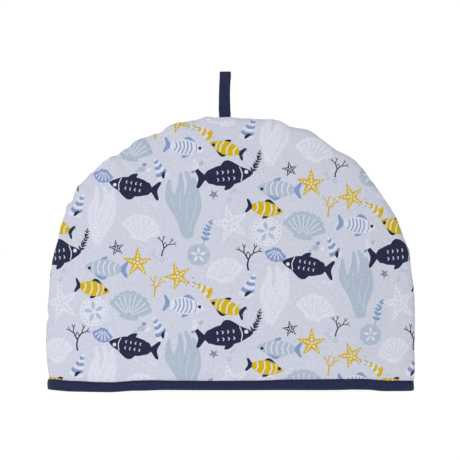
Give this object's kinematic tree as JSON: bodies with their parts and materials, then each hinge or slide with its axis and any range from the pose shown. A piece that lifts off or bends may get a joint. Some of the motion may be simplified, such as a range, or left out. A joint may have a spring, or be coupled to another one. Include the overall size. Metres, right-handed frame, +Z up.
{
  "type": "tea cosy",
  "caption": "Dome-shaped padded cloth tea cosy, open below, with a bound hem and a hanging loop at the top of its seam.",
  "frame": {"origin": "middle of the hem, on the surface that the cosy stands on", "axes": "+X to the right of the front panel, along the hem's long way; the front panel faces -Y; +Z up towards the loop"},
  "size_m": [0.3497, 0.1016, 0.3023],
  "materials": {
    "printed_cotton": "matt plain-weave cotton, pale blue-grey ground with a small print in navy, white, aqua and mustard",
    "navy_tape": "matt navy cotton bias tape, folded and stitched"
  },
  "bodies": {
    "root": {"front_panel": "printed_cotton", "back_panel": "printed_cotton", "hem_binding": "navy_tape", "hanging_loop": "navy_tape"}
  },
  "joints": []
}
